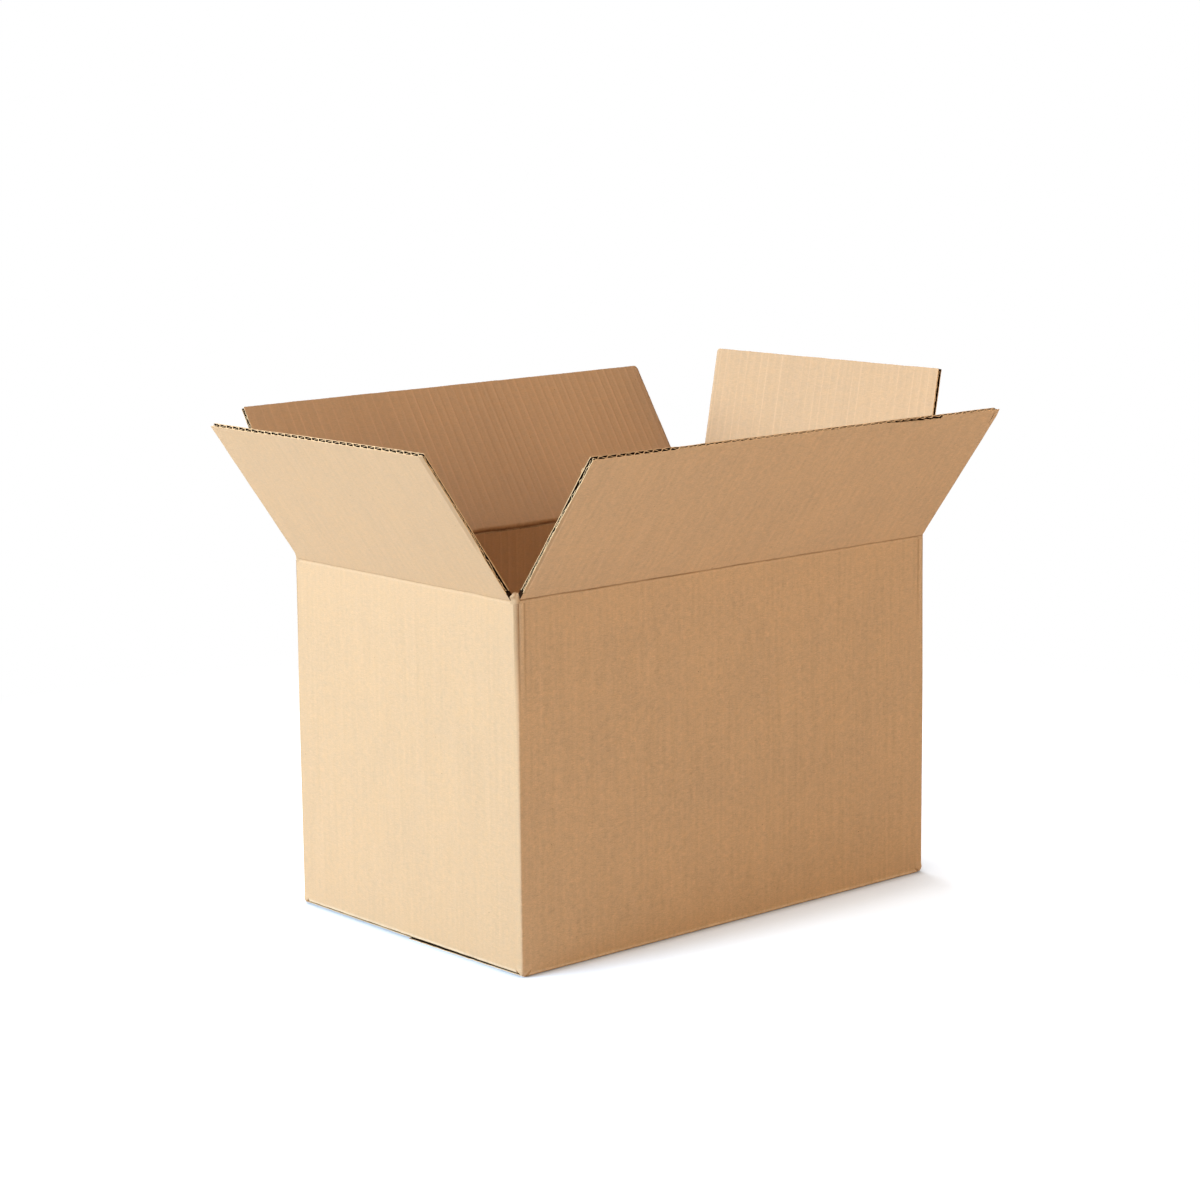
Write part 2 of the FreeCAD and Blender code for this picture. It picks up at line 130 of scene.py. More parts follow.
class Panel:
    def __init__(self, name, start, along, out, length, begin, crease, slot):
        self.name = name
        self.start = np.array(start, float)
        self.along = np.array(along, float)
        self.out = np.array(out, float)
        self.length = length
        self.begin = begin
        self.middle = begin + length / 2
        self.crease = crease
        self.slot = slot
        self.flap_low = begin + slot
        self.flap_high = begin + length - slot
        self.joint = joint_of(name + "_fold") if name != "lap" else None


RIGHT = Panel("right", (HALF_X, HALF_Y), (0, -1), (1, 0), SHORT, 0, SHORT_CREASE, SHORT_SLOT)
FRONT = Panel("front", (HALF_X, -HALF_Y), (-1, 0), (0, -1), LONG, SHORT, LONG_CREASE, LONG_SLOT)
LEFT = Panel("left", (-HALF_X, -HALF_Y), (0, 1), (-1, 0), SHORT, SHORT + LONG, SHORT_CREASE, SHORT_SLOT)
BACK = Panel("back", (-HALF_X, HALF_Y), (1, 0), (0, 1), LONG, 2 * SHORT + LONG, LONG_CREASE, LONG_SLOT)
PANELS = (RIGHT, FRONT, LEFT, BACK)
LAP_FOLD = BOARD + 0.05
LAP_WIDTH = 35.0
LAP_START = LAP_FOLD - 3.2  # the right wall's sheet starts here and the glue lap's sheet ends
LAP = Panel("lap", (HALF_X, HALF_Y - LAP_FOLD), (1, 0), (0, 1), LAP_WIDTH, LAP_FOLD, SHORT_CREASE, 0)
CORNERS = (
    (LAP_FOLD, LAP, RIGHT),
    (FRONT.begin, RIGHT, FRONT),
    (LEFT.begin, FRONT, LEFT),
    (BACK.begin, LEFT, BACK),
)
FREE_CORNERS = CORNERS[1:]  # the three that the lap doesn't close
BLANK_END = BACK.begin + LONG - BACK_END


def corner_radius(v):
    return CORNER_LOW + (CORNER_HIGH - CORNER_LOW) * smooth(v, 90, 205)


def place_walls(u, v, w):
    """Points of the folded walls, round their corners."""
    x = np.zeros(u.shape)
    y = np.zeros(u.shape)
    for panel in (LAP,) + PANELS:
        first = -1e9 if panel is LAP else panel.begin
        last = LAP_FOLD if panel is LAP else panel.begin + panel.length
        here = (u >= first) & (u <= last) if panel is LAP else (u > first) & (u <= last) & (u > LAP_FOLD)
        run = u - panel.begin
        x = np.where(here, panel.start[0] + panel.along[0] * run - panel.out[0] * w, x)
        y = np.where(here, panel.start[1] + panel.along[1] * run - panel.out[1] * w, y)
    for place, before, after in CORNERS:
        tip = after.start + after.along * (place - after.begin)
        inside = -(before.out + after.out)
        radius = np.maximum(corner_radius(v) - w, INNER_RADIUS)
        reach = radius + w
        here = np.abs(u - place) < reach
        turn = (1 + np.clip((u - place) / reach, -1, 1)) * math.pi / 4
        x_arc = tip[0] + inside[0] * reach
        y_arc = tip[1] + inside[1] * reach
        x_arc = x_arc + radius * (before.out[0] * np.cos(turn) + after.out[0] * np.sin(turn))
        y_arc = y_arc + radius * (before.out[1] * np.cos(turn) + after.out[1] * np.sin(turn))
        x = np.where(here, x_arc, x)
        y = np.where(here, y_arc, y)
    return np.stack([x, y, v], axis=-1)


def flap_frame(panel):
    """Hinge point and the flap's own axes as it rests: along the score, inward and up."""
    hinge = np.array(panel.joint["pos_m"]) / MM
    axis = np.array(panel.joint["axis"], float)
    lean = math.radians(-panel.joint["range_deg"][0] - 90)
    up = Vector((0, 0, 1))
    up.rotate(Matrix.Rotation(lean, 3, Vector(axis)))
    up = np.array(up)
    return hinge, axis, np.cross(up, axis), up, lean


def place_flap(panel):
    hinge, axis, inward, up, lean = flap_frame(panel)
    rise = hinge[2] - panel.crease

    def place(u, v, w):
        along = (panel.middle - u)[..., None] * axis
        climb = (v - panel.crease - rise * math.cos(lean))[..., None] * up
        depth = (w - rise * math.sin(lean))[..., None] * inward
        return hinge + along + climb + depth

    return place


def place_score(panel):
    """The board beside a score, turning from the wall to its leaning flap."""
    hinge, axis, _, _, lean = flap_frame(panel)
    bend = 1.3
    steps = np.linspace(-SCORE_LOW, SCORE_HIGH, 341)
    angle = lean * smooth(steps, -bend, bend)
    gap = steps[1] - steps[0]
    out = np.concatenate([[0], np.cumsum(np.sin((angle[1:] + angle[:-1]) / 2)) * gap])
    rise = np.concatenate([[0], np.cumsum(np.cos((angle[1:] + angle[:-1]) / 2)) * gap]) - SCORE_LOW
    ease = smooth(steps, -SCORE_LOW, SCORE_HIGH)
    out += ease * (SCORE_HIGH * math.sin(lean) - out[-1])
    rise += ease * (SCORE_HIGH * math.cos(lean) - rise[-1])
    outward = np.array([panel.out[0], panel.out[1], 0])
    level = np.array([0, 0, 1.0])
    score = np.array([hinge[0], hinge[1], panel.crease])

    def place(u, v, w):
        s = v - panel.crease
        turn = lean * smooth(s, -bend, bend)
        along = (panel.middle - u)[..., None] * axis
        n = np.interp(s, steps, out) - w * np.cos(turn)
        z = np.interp(s, steps, rise) + w * np.sin(turn)
        return score + along + n[..., None] * outward + z[..., None] * level

    return place


def place_bottom(panel, outer_path, inner_path):
    """The board of a bottom fold; each skin follows its own path of (distance, depth, height)."""
    outer = np.array(outer_path).T
    inner = np.array(inner_path).T

    def place(u, v, w):
        run = WALL_LOW - v
        part = w / BOARD
        depth = np.interp(run, outer[0], outer[1]) * (1 - part) + np.interp(run, inner[0], inner[1]) * part
        height = np.interp(run, outer[0], outer[2]) * (1 - part) + np.interp(run, inner[0], inner[2]) * part
        along = u - panel.begin
        x = panel.start[0] + panel.along[0] * along - panel.out[0] * depth
        y = panel.start[1] + panel.along[1] * along - panel.out[1] * depth
        return np.stack([x, y, height], axis=-1)

    return place


# Relief of the liners: flutes that show through, the pressed bands and slow waves.

def flute_lines(u, v, inner):
    """How far the liner stands up over the crests it is glued to."""
    shift = 0.5 if inner else 0.0
    wave = 0.5 + 0.5 * np.cos(2 * math.pi * (u / FLUTE + shift))
    strength = 1 + 0.45 * wander(u, FLUTE, 11 if inner else 12)
    strength = strength + 0.3 * wander(v + 40 * np.floor(u / FLUTE), 60, 13)
    if inner:
        clear = 0.45 + 0.9 * smooth(u, BACK.begin + 60, BACK.begin + 190)
        return 0.075 * clear * strength * wave ** 5
    return 0.009 * strength * wave ** 2


def slow_wave(u, v, seed):
    rough = wander(u + 0.3 * v, 70, seed) + 0.6 * wander(v - 0.2 * u, 55, seed + 1)
    return rough + 0.5 * wander(u, 31, seed + 2)


# A mesh is gathered patch by patch, with each point's place in the blank and each face's kind.

class Gather:
    def __init__(self):
        self.points = []
        self.blank = []
        self.wear_and_painted_light = []
        self.faces = []
        self.kinds = []
        self.count = 0

    def grid(self, place, u, v, w, wear_and_painted_light):
        first = self.count
        self.points.append(place(u, v, w).reshape(-1, 3))
        self.blank.append(np.stack([u, v, w], axis=-1).reshape(-1, 3))
        self.wear_and_painted_light.append(np.broadcast_to(wear_and_painted_light, u.shape).reshape(-1))
        self.count += u.size
        return first + np.arange(u.size).reshape(u.shape)

    def quads(self, a, b, c, d, kind):
        made = np.stack([a.ravel(), b.ravel(), c.ravel(), d.ravel()], axis=-1)
        self.faces.append(made)
        self.kinds.append(np.tile(np.array(kind, np.float32), (len(made), 1)))

    def slab(self, place, u, v, low, high, kinds, wear_and_painted_light=0.0, rims=(CUT, CUT, CUT, CUT)):
        """Closed sheet between two depths. Rims are at the start and end of u, then of v.

        Wear and painted light is one value or array for both faces, or a pair for the near and the far one.
        """
        near_wear_and_light, far_wear_and_light = wear_and_painted_light if isinstance(wear_and_painted_light, tuple) else (wear_and_painted_light, wear_and_painted_light)
        u, v = np.broadcast_arrays(u, v)
        low = np.broadcast_to(low, u.shape)
        high = np.broadcast_to(high, u.shape)
        near = self.grid(place, u, v, low, near_wear_and_light)
        far = self.grid(place, u, v, high, far_wear_and_light)
        self.quads(near[:-1, :-1], near[:-1, 1:], near[1:, 1:], near[1:, :-1], kinds[0])
        self.quads(far[:-1, :-1], far[1:, :-1], far[1:, 1:], far[:-1, 1:], kinds[1])
        self.quads(near[0, :-1], far[0, :-1], far[0, 1:], near[0, 1:], rims[0])
        self.quads(near[-1, :-1], near[-1, 1:], far[-1, 1:], far[-1, :-1], rims[1])
        self.quads(near[:-1, 0], near[1:, 0], far[1:, 0], far[:-1, 0], rims[2])
        self.quads(near[:-1, -1], far[:-1, -1], far[1:, -1], near[1:, -1], rims[3])

    def finish(self, name, material):
        points = np.concatenate(self.points) * MM
        faces = np.concatenate(self.faces)
        mesh = bpy.data.meshes.new(name)
        mesh.vertices.add(len(points))
        mesh.vertices.foreach_set("co", points.astype(np.float32).ravel())
        mesh.loops.add(faces.size)
        mesh.loops.foreach_set("vertex_index", faces.astype(np.int32).ravel())
        mesh.polygons.add(len(faces))
        mesh.polygons.foreach_set("loop_start", np.arange(0, faces.size, 4, dtype=np.int32))
        mesh.update(calc_edges=True)
        mesh.polygons.foreach_set("use_smooth", np.ones(len(faces), bool))
        blank = mesh.attributes.new("blank", "FLOAT_VECTOR", "POINT")
        blank.data.foreach_set("vector", np.concatenate(self.blank).astype(np.float32).ravel())
        wear_and_painted_light = mesh.attributes.new("wear_and_painted_light", "FLOAT", "POINT")
        wear_and_painted_light.data.foreach_set("value", np.concatenate(self.wear_and_painted_light).astype(np.float32))
        kind = mesh.attributes.new("kind", "FLOAT_VECTOR", "FACE")
        kind.data.foreach_set("vector", np.concatenate(self.kinds).astype(np.float32).ravel())
        mesh.set_sharp_from_angle(angle=math.radians(38))
        mesh.materials.append(material)
        piece = bpy.data.objects.new(name, mesh)
        bpy.context.scene.collection.objects.link(piece)
        return piece


def spread(low, high, step):
    """Even places from low to high, at most a step apart."""
    count = max(1, int(math.ceil((high - low) / step - 1e-6)))
    return np.linspace(low, high, count + 1)


# One flat stretch of board with its liners, its waved medium and its cut edges.

class Board:
    """Edges of one flat stretch, in blank coordinates; v runs from its root to its free edge."""

    def __init__(self, low_u, high_u, root, tip, seed):
        self.low_u = low_u
        self.high_u = high_u
        self.root = root
        self.tip = tip
        self.seed = seed
        self.way = 1 if tip > root else -1
        self.tips = [0.9, 0.9]
        self.inner_tips = [0.9, 0.9]
        self.teeth = [0.1, 0.1]
        self.crush = []
        self.pinch = []
        self.short = (0.0, 0.0)
        self.tears = []
        self.tip_step = 0.45
        self.side_step = 0.4
        self.column = FLUTE_STEP
        self.row = 9.0

    def run(self, v):
        return (v - self.root) * self.way

    def depth(self):
        return abs(self.tip - self.root)

    def border(self, end):
        """A side edge's u, which way is out there, and the order in which its rows run outward."""
        return (self.high_u, 1, slice(None)) if end else (self.low_u, -1, slice(None, None, -1))

    def side(self, end, v, layer):
        """Where a side edge lies: nearly straight, with the fine teeth of the slotting knife."""
        edge, out, _ = self.border(end)
        tooth = np.abs(((v + 0.37 * layer) / TOOTH_STEP) % 1.0 - 0.5) * 2
        fine = self.teeth[end] * (tooth - 0.5) * (1 + 0.6 * wander(v, TOOTH_STEP, self.seed + 5 + end))
        slow = 0.12 * wander(v, 11, self.seed + 7 + 2 * layer + end)
        ragged = 0.07 * wander(v, 0.6, self.seed + 9 + 2 * layer + end)
        return edge + out * (fine + slow + ragged - 0.15)

    def between(self, u, ends):
        share = np.clip((u - self.low_u) / (self.high_u - self.low_u), 0, 1)
        return ends[0] * (1 - share) + ends[1] * share

    def free(self, u, layer):
        """How far up the free edge lies over each u, with its rounded corners."""
        height = self.depth() - self.between(u, self.short) + 0.10 * wander(u, 9, self.seed + 21 + layer)
        height = height + 0.07 * wander(u, 0.9, self.seed + 23 + layer)
        for corner, edge, sign in ((0, self.low_u, 1), (1, self.high_u, -1)):
            radius = self.tips[corner] if layer == 0 else self.inner_tips[corner]
            inset = np.clip((u - edge) * sign + 0.15, 0, radius)
            height = height - (radius - np.sqrt(radius ** 2 - (radius - inset) ** 2))
        for which, begin, finish, drop in self.tears:
            if which == layer:
                bite = smooth(u, begin - 1.5, begin) * (1 - smooth(u, (begin + finish) / 2, finish))
                height = height - bite * drop * (1 + 0.3 * wander(u, 2.2, self.seed + 31))
        return height - 0.1

    def crushed(self, u, v, end, low, high):
        """How far in from a side edge each point is, and how much its row is crushed."""
        inset = (u - self.low_u) if end == 0 else (self.high_u - u)
        run = self.run(v)
        return inset, smooth(run, low - 6, low + 6) * (1 - smooth(run, high - 30, high))

    def squeeze(self, u, v):
        """How far each skin is pressed in beside a crushed side edge, and at a pinched free edge."""
        run = self.run(v)
        outer = np.zeros(u.shape)
        inner = np.zeros(u.shape)
        for end, low, high, reach, outer_press, inner_press in self.crush:
            inset, along = self.crushed(u, v, end, low, high)
            across = along * np.clip(1.15 - inset / reach, 0, 1)
            outer = np.maximum(outer, outer_press * across)
            inner = np.maximum(inner, inner_press * across)
        for begin, finish, outer_press, inner_press in self.pinch:
            along = smooth(u, begin - 3, begin + 3) * (1 - smooth(u, finish - 3, finish + 3))
            across = along * smooth(run, self.depth() - 5, self.depth() - 0.3)
            outer = np.maximum(outer, outer_press * across)
            inner = np.maximum(inner, inner_press * across)
        return outer, inner

    def painted_crush_shading(self, u, v):
        """Painted shade on the crushed margins, standing in for their tilt, each with a painted highlight
        along its inner side.
        """
        shape = np.zeros(u.shape)
        for end, low, high, reach, _, _ in self.crush:
            inset, along = self.crushed(u, v, end, low, high)
            pressed = 1 - smooth(inset, reach - 0.7, reach)
            shape = shape + along * (0.9 * hump(inset, reach, 0.4) - 0.75 * pressed)
        return shape

    def skins(self, u, v):
        """Depths of the outer liner's two faces and the inner liner's two faces."""
        outer_press, inner_press = self.squeeze(u, v)
        fade = smooth(self.run(v), 0, 3)
        outer = outer_press - fade * flute_lines(u, v, False)
        inner = BOARD - inner_press + fade * (flute_lines(u, v, True) - FLUTE_SINK)
        return outer, outer + LINER, inner - LINER, inner


def add_board(gather, board, place):
    low_v = board.root
    band_v = board.tip - board.way * (TIP_BAND + max(board.short))
    inner_low = board.low_u + SIDE_BAND
    inner_high = board.high_u - SIDE_BAND
    rows = np.linspace(low_v, band_v, 1 + max(2, int(round(board.depth() / board.row))))
    fine_rows = spread(0, 1, board.side_step / board.depth()) * (band_v - low_v) + low_v
    columns = spread(inner_low, inner_high, board.column)
    tip_part = np.linspace(0, 1, 5)
    for layer in (0, 1):
        kinds = (OUTER, CORE) if layer == 0 else (CORE, INNER)

        def fill(u, v, rims):
            depths = board.skins(u, v)
            low, high = depths[2 * layer], depths[2 * layer + 1]
            wear_and_painted_light = board.painted_crush_shading(u, v)
            if board.way < 0:
                u, v, low, high, wear_and_painted_light = u[::-1], v[::-1], low[::-1], high[::-1], wear_and_painted_light[::-1]
                rims = (rims[1], rims[0], rims[2], rims[3])
            gather.slab(place, u, v, low, high, kinds, wear_and_painted_light, rims)

        u, v = np.meshgrid(columns, rows, indexing="ij")
        fill(u, v, (CORE, CORE, CORE, CORE))
        for end, edge in ((0, inner_low), (1, inner_high)):
            border = board.side(end, fine_rows, layer)
            part = np.linspace(0, 1, 9)[:, None]
            if end == 0:
                u = border * (1 - part) + edge * part
                rims = (CUT, CORE, CORE, CORE)
            else:
                u = edge * (1 - part) + border * part
                rims = (CORE, CUT, CORE, CORE)
            fill(u, np.broadcast_to(fine_rows, u.shape), rims)
        ends = [float(board.side(end, np.array([band_v]), layer)[0]) for end in (0, 1)]
        across = spread(ends[0], ends[1], board.tip_step)[:, None]
        top = board.root + board.way * board.free(across, layer)
        v = band_v * (1 - tip_part) + top * tip_part
        fill(np.broadcast_to(across, v.shape), v, (CUT, CUT, CORE, CUT))
    add_medium(gather, board, place)


def add_medium(gather, board, place):
    """The waved paper between the liners."""
    across = spread(board.low_u + MEDIUM_INSET, board.high_u - MEDIUM_INSET, WAVE_STEP)[:, None]
    part = np.concatenate([np.linspace(0, 0.96, 5), [0.975, 0.99, 1.0]])[None, :]
    top = board.free(across, 2) - 0.08 + 0.06 * wander(across, 1.1, board.seed + 41)
    v = board.root + board.way * part * top
    u = np.broadcast_to(across, v.shape)
    depths = board.skins(u, v)
    phase = np.cos(2 * math.pi * u / FLUTE)
    wave = np.sign(phase) * (1 - (1 - np.abs(phase)) ** 1.35)
    middle = (depths[1] + depths[2]) / 2
    swing = np.maximum(0, (depths[2] - depths[1] - MEDIUM) / 2 + 0.05)
    centre = middle - wave * swing
    frayed = FRAYED * smooth(board.run(v), board.depth() - 2.5, board.depth() - 0.6)
    half = MEDIUM / 2 + frayed * (1 + 0.5 * wander(u, 1.1, board.seed + 43))
    low, high = centre - half, centre + half
    if board.way < 0:
        u, v, low, high = u[::-1], v[::-1], low[::-1], high[::-1]
    gather.slab(place, u, v, low, high, (CORE, CORE), 0.0, (CUT, CUT, CORE, CUT))


# Top flaps.

def flap_board(panel, seed):
    root, tip = panel.crease + SCORE_HIGH, panel.crease + FLAP_DEPTH
    return Board(panel.flap_low, panel.flap_high, root, tip, seed)


def bowed(place, board, seed, back):
    """Let the flap's free edge wave and stand back a little; its root stays straight."""
    def move(u, v, w):
        climb = np.clip(board.run(v) / board.depth(), 0, 1.1)
        return place(u, v, w + climb ** 2 * 0.25 * slow_wave(u, v, seed) - climb * board.between(u, back))

    return move


def make_flap(panel, material, shape):
    board = flap_board(panel, shape["seed"])
    board.tips = shape["tips"]
    board.inner_tips = shape.get("inner_tips", shape["tips"])
    board.teeth = shape["teeth"]
    board.crush = shape["crush"]
    board.pinch = shape.get("pinch", [])
    board.short = shape.get("short", (0.0, 0.0))
    board.tears = shape.get("tears", [])
    place = bowed(place_flap(panel), board, shape["seed"], shape.get("back", (0.0, 0.0)))
    gather = Gather()
    add_board(gather, board, place)
    for end in (0, 1):
        add_fringe(gather, board, place, end, shape["fringe"][end])
    for layer, end, low, high, reach in shape.get("flakes", []):
        add_flake(gather, board, place, layer, end, low, high, reach)
    piece = gather.finish(panel.name + "_flap_board", material)
    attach(piece, panel.name + "_flap")
    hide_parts(panel.name + "_flap")
    return piece


def add_fringe(gather, board, place, end, amount):
    """Shredded medium in the gap of a side edge that was cut along a flute."""
    rows = spread(board.root + 1.0, board.tip - 1.5 - max(board.short), 0.42)[None, :]
    part = np.linspace(0, 1, 4)[:, None]
    edge, out, order = board.border(end)
    seed = board.seed + 61 + 10 * end
    ragged = amount * (wander(rows, 0.8, seed) + 0.5 * wander(rows, 5.0, seed + 1))
    u = edge - out * 1.6 + out * part * (1.15 + ragged)
    v = np.broadcast_to(rows, u.shape)
    depths = board.skins(np.clip(u, board.low_u, board.high_u), v)
    share = 0.5 + 0.28 * wander(rows, 3.5, seed + 2) + 0.16 * wander(rows, 0.9, seed + 3)
    middle = depths[1] * (1 - share) + depths[2] * share
    thick = 0.16 + 0.1 * wander(rows, 1.3, seed + 4)
    low_w, high_w = middle - thick, middle + thick
    gather.slab(place, u[order], v[order], low_w[order], high_w[order], (CORE, CORE), 0.0)


def add_flake(gather, board, place, layer, end, low, high, reach):
    """A torn scrap of liner that stands out of a side edge."""
    rows = np.linspace(low, high, 16)[None, :] + board.root
    part = np.linspace(0, 1, 6)[:, None]
    edge, out, order = board.border(end)
    bulge = np.sin(math.pi * (rows - rows[0, 0]) / (high - low)) ** 0.7
    bulge = bulge * (1 + 0.3 * wander(rows, 1.1, board.seed + 51))
    u = edge - out * 0.6 + out * part * (0.6 + reach * bulge)
    v = np.broadcast_to(rows, u.shape)
    depths = board.skins(np.clip(u, board.low_u, board.high_u), v)
    face = depths[0] if layer == 0 else depths[3] - 0.15
    curl = 0.7 * (part * bulge) ** 2 * (1 if layer else -1)
    low_w, high_w = face + curl, face + curl + 0.15
    gather.slab(place, u[order], v[order], low_w[order], high_w[order], (CUT, CUT), 0.6)


# Score strips: the pressed board between a wall and its flap, bent to the flap's resting lean.

def make_score(panel, material, seed, depths):
    gather = Gather()
    across = spread(panel.flap_low, panel.flap_high, FLUTE_STEP)[:, None]
    below, bend, above = (-SCORE_LOW, -0.9, 4), (-0.75, 0.9, 14), (1.1, SCORE_HIGH, 9)
    rows = np.concatenate([np.linspace(*stretch) for stretch in (below, bend, above)])
    u, run = np.broadcast_arrays(across, rows[None, :])
    v = panel.crease + run
    drift = 0.2 * wander(u, 17, seed) + 0.09 * wander(u, 2.1, seed + 1)
    inner_drift = drift - 1.0
    valley = hump(run, drift, 0.42)
    press = 0.34 * valley * (1 + 0.25 * wander(u, 3.3, seed + 2))
    shown = 1 - smooth(run, -SCORE_LOW, -SCORE_LOW + 1.0)
    low = press - shown * flute_lines(u, v, False)
    groove = 1.3 * hump(run, inner_drift, 0.75)
    high = BOARD - groove + shown * (flute_lines(u, v, True) - FLUTE_SINK)
    along = (u - panel.begin) / panel.length
    depth = depths[0] * (1 - along) + depths[1] * along
    depth = depth * (1 + 0.25 * wander(u, 9, seed + 3))
    # Painted shade in the score's valleys, outside and inside, with a painted highlight on the outer face
    # just below the valley.
    outer_score_shading = -depth * hump(run, drift, 0.45) + 0.5 * hump(run, drift - 1.1, 0.5)
    inner_score_shading = -depth * hump(run, inner_drift, 0.62)
    wear_and_painted_light = (outer_score_shading, inner_score_shading)
    gather.slab(place_score(panel), u, v, low, high, (OUTER, INNER), wear_and_painted_light, (CORE, CORE, CORE, CORE))
    piece = gather.finish(panel.name + "_score", material)
    lean = flap_frame(panel)[4]
    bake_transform(piece)
    return piece


# Walls.

def wall_top(u):
    """Where the wall ends under its score strips; it slopes from one level to the other at the corners."""
    places = [0, SHORT_SLOT]
    levels = [SHORT_CREASE, SHORT_CREASE]
    for panel in PANELS:
        places += [panel.flap_low, panel.flap_high]
        levels += [panel.crease, panel.crease]
    order = np.argsort(places)
    return np.interp(u, np.array(places)[order], np.array(levels)[order]) - SCORE_LOW


def plateau(x, low, high, edge):
    """Nearly 1 between low and high, with soft edges."""
    return smooth(x, low - edge, low + edge) * (1 - smooth(x, high - edge, high + edge))


def corner_sides(place, before, after, u):
    """Distance from a folded corner, counted up on its long wall and down on its short wall."""
    return (place - u) if before.length > after.length else (u - place)


def corner_bands(u, v):
    """Relief beside the folded corners' tops: a groove, a raised band and a thin pressed line."""
    fade = smooth(v, *BAND_HEIGHTS)
    shape = np.zeros(np.broadcast(u, v).shape)
    for corner in FREE_CORNERS:
        away = corner_sides(*corner, u)
        groove = 0.30 * hump(away, 1.5, 0.4) + 0.16 * hump(away, 5.4, 0.45)
        shape = shape + fade * (groove - 0.16 * plateau(away, 2.2, 4.6, 0.6))
    return shape


def corner_shading_and_wear(u, v):
    """Painted shade at the folded corners' tops: a brown band over the corner and dark lines in its
    grooves, with a paler raised band between; lower down, a pale rubbed line along the corner.
    """
    fade = smooth(v, *BAND_HEIGHTS)
    shape = np.zeros(np.broadcast(u, v).shape)
    ragged = 0.35 * wander(v, 4, 171)
    for corner in FREE_CORNERS:
        away = corner_sides(*corner, u)
        tan = 1.9 * plateau(away + ragged, -2.6, 1.3, 0.3)
        lines = 2.0 * hump(away, 1.6, 0.4) + 1.6 * hump(away + 0.3 * ragged, 5.6, 0.6)
        pale = 0.9 * plateau(away, 2.4, 4.6, 0.5)
        shape = shape + fade * (pale - tan - lines) + (1 - fade) * 1.1 * hump(away, 0, 0.5)
    return shape


def wall_skins(u, v):
    """Depths of both faces of the walls, with a faint upright ridge left of the front's middle."""
    ridge = 0.07 * hump(u, FRONT.begin + HALF_X + 70, 1.1) * smooth(v, 90, 150)
    outer = corner_bands(u, v) - flute_lines(u, v, False) - ridge
    inner = BOARD + flute_lines(u, v, True) - FLUTE_SINK
    straight = np.ones(u.shape)
    for place, _, _ in CORNERS:
        straight = straight * smooth(np.abs(u - place), 3.5, 30)
    calm = smooth(v, WALL_LOW, WALL_LOW + 40) * (1 - smooth(v, 150, 200))
    bulge = 0.22 * slow_wave(u, v, 61) * straight * calm
    return outer + bulge, inner + bulge


def add_walls(gather):
    places = list(np.arange(LAP_START, BLANK_END, FLUTE_STEP)) + [BLANK_END]
    for corner, _, _ in CORNERS:
        places += list(np.linspace(corner - CORNER_REACH, corner + CORNER_REACH, 67))
    across = np.unique(np.round([place for place in places if place >= LAP_START], 3))
    across = across[np.concatenate([[True], np.diff(across) > CLOSEST_COLUMNS])]
    part = np.linspace(0, 1, 21)[None, :]
    u = np.broadcast_to(across[:, None], (len(across), part.size))
    v = WALL_LOW * (1 - part) + wall_top(across)[:, None] * part
    outer, inner = wall_skins(u, v)
    wear_and_painted_light = corner_shading_and_wear(u, v)
    gather.slab(place_walls, u, v, outer, inner, (OUTER, INNER), wear_and_painted_light, (CUT, CORE, CORE, CORE))


def add_end_groove(gather):
    """The back wall's cut end, where the slitter opened a flute: two liners with a gap between."""
    rows = spread(WALL_LOW, LONG_CREASE - SCORE_LOW, 1.4)[None, :]
    part = np.linspace(0, 1, 3)[:, None]
    for layer, low, high in ((0, 0.0, LINER), (1, BOARD - LINER, BOARD)):
        edge = BLANK_END + 0.75 + 0.1 * wander(rows, 1.3, 71 + layer)
        u = BLANK_END * (1 - part) + edge * part
        v = np.broadcast_to(rows, u.shape)
        gather.slab(place_walls, u, v, low, high, (OUTER, INNER), 0.0, (CORE, CUT, CUT, CUT))


def add_top_nub(gather, corner, before, after, seed):
    """Crumpled dome of torn board on a folded corner, between the slots of its two flaps."""
    part = np.linspace(0, 1, 17)[None, :]
    side = np.linspace(-1, 1, 29)[:, None]
    reach = np.where(side < 0, before.slot, after.slot)
    foot = wall_top(corner + side * reach)
    height = LONG_CREASE + NUB_RISE - foot
    climb = part * height * (1 - 0.42 * np.abs(side) ** 3.2)
    past = np.clip((climb - SCORE_LOW) / NUB_RISE, 0, 1)
    narrow = np.where(climb > SCORE_LOW, 0.15, 0.0)
    v = foot + climb + past * 0.35 * wander(corner + side * reach, 1.1, seed + 2)
    u = corner + side * np.maximum(reach - narrow, 0.4)
    crumple = past * (0.32 * wander(u * 1.3 + 3 * v, 1.4, seed) + 0.22 * wander(v * 2 - u, 0.8, seed + 1))
    flare = 1.1 * smooth(past, 0.05, 0.7) * smooth(-corner_sides(corner, before, after, u), -0.5, 3)
    outer = 0.04 + past ** 4 * 0.8 + np.abs(crumple) * 0.7 - flare
    inner = outer + (BOARD - 0.1) * (1 - 0.45 * past) - 0.4 * past ** 3
    torn = past * (0.9 * wander(u, 1.7, seed + 3) + 0.7 * wander(v, 1.2, seed + 4))
    wear_and_painted_light = -0.9 * (1 - past) - 0.5 * past + 2.2 * torn * hump(past, 0.45, 0.35)
    gather.slab(place_walls, u, v, outer, inner, (OUTER, INNER), wear_and_painted_light, (CUT, CUT, CORE, CUT))


def foot_reach(panel, height):
    """Where the slit beside a bottom corner lies, from the corner, at a height over the floor."""
    if panel.length == LONG:
        return np.interp(height, (0.4, 3.2), (3.4, 6.0))
    return np.interp(height, (0.4, 2.0, 3.2), (0.7, 3.2, SHORT_SLOT))


